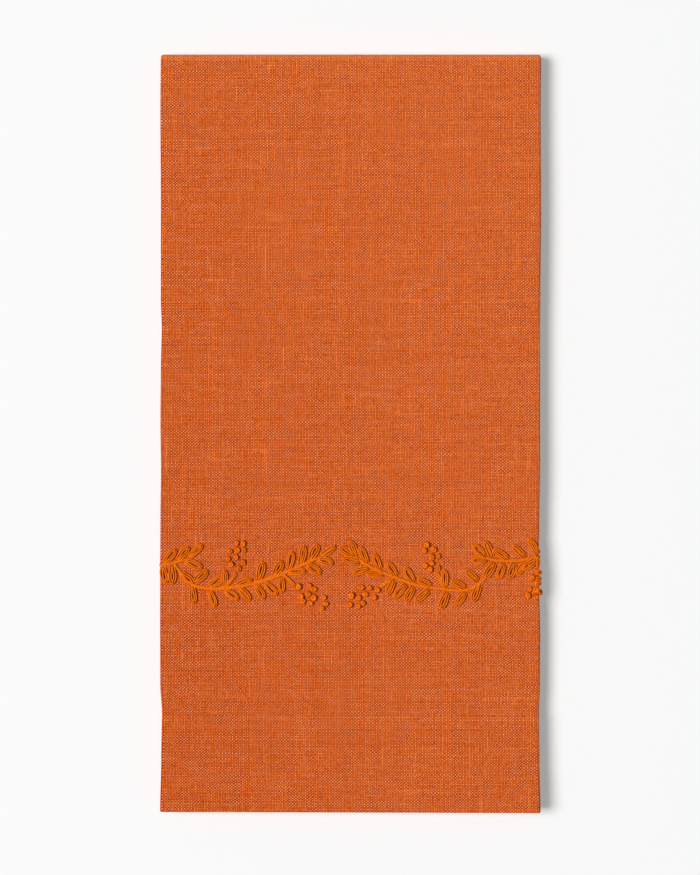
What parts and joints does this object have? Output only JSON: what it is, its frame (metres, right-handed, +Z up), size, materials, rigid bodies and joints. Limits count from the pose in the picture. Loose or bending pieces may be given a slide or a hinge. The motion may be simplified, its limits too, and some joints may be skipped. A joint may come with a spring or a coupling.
{
  "type": "folded linen guest towel",
  "caption": "Linen guest towel folded in thirds and then in half, with a deep hem and an embroidered leaf and berry border across its front.",
  "frame": {"origin": "on the table under the middle of the folded towel", "axes": "+Y from the hem edge to the half fold, +Z up out of the embroidered front"},
  "size_m": [0.1276, 0.254, 0.0092],
  "materials": {
    "linen": "matt plain weave",
    "thread": "soft sheen"
  },
  "bodies": {
    "root": {"folded_cloth": "linen", "left_garland": "thread", "right_garland": "thread"}
  },
  "joints": []
}
